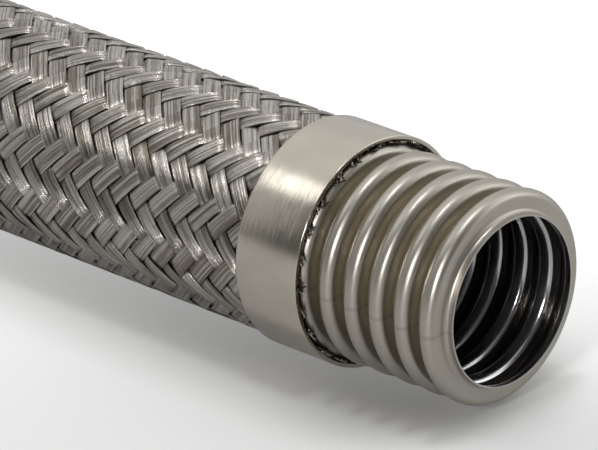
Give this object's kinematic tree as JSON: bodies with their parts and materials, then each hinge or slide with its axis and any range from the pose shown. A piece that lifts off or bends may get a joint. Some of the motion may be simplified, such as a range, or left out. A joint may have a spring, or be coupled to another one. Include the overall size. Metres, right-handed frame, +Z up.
{
  "type": "braided vacuum bellows hose",
  "caption": "Short length of corrugated steel vacuum hose under a plaited wire braid, held by a plain collar near each bare bellows end.",
  "frame": {"origin": "on the hose's axis, halfway along its length", "axes": "+X along the hose towards its front end, +Z up with the hose lying on its side, +Y completes the right-handed frame"},
  "size_m": [0.2966, 0.058, 0.058],
  "materials": {
    "tube_steel": "satin formed stainless steel with a faint straw tint in the grooves",
    "braid_wire": "bright drawn stainless wire, plaited in flat ribbons",
    "collar_steel": "plain satin stainless steel band"
  },
  "bodies": {
    "root": {"corrugated_tube": "tube_steel", "wire_braid": "braid_wire", "front_collar": "collar_steel", "rear_collar": "collar_steel"}
  },
  "joints": []
}
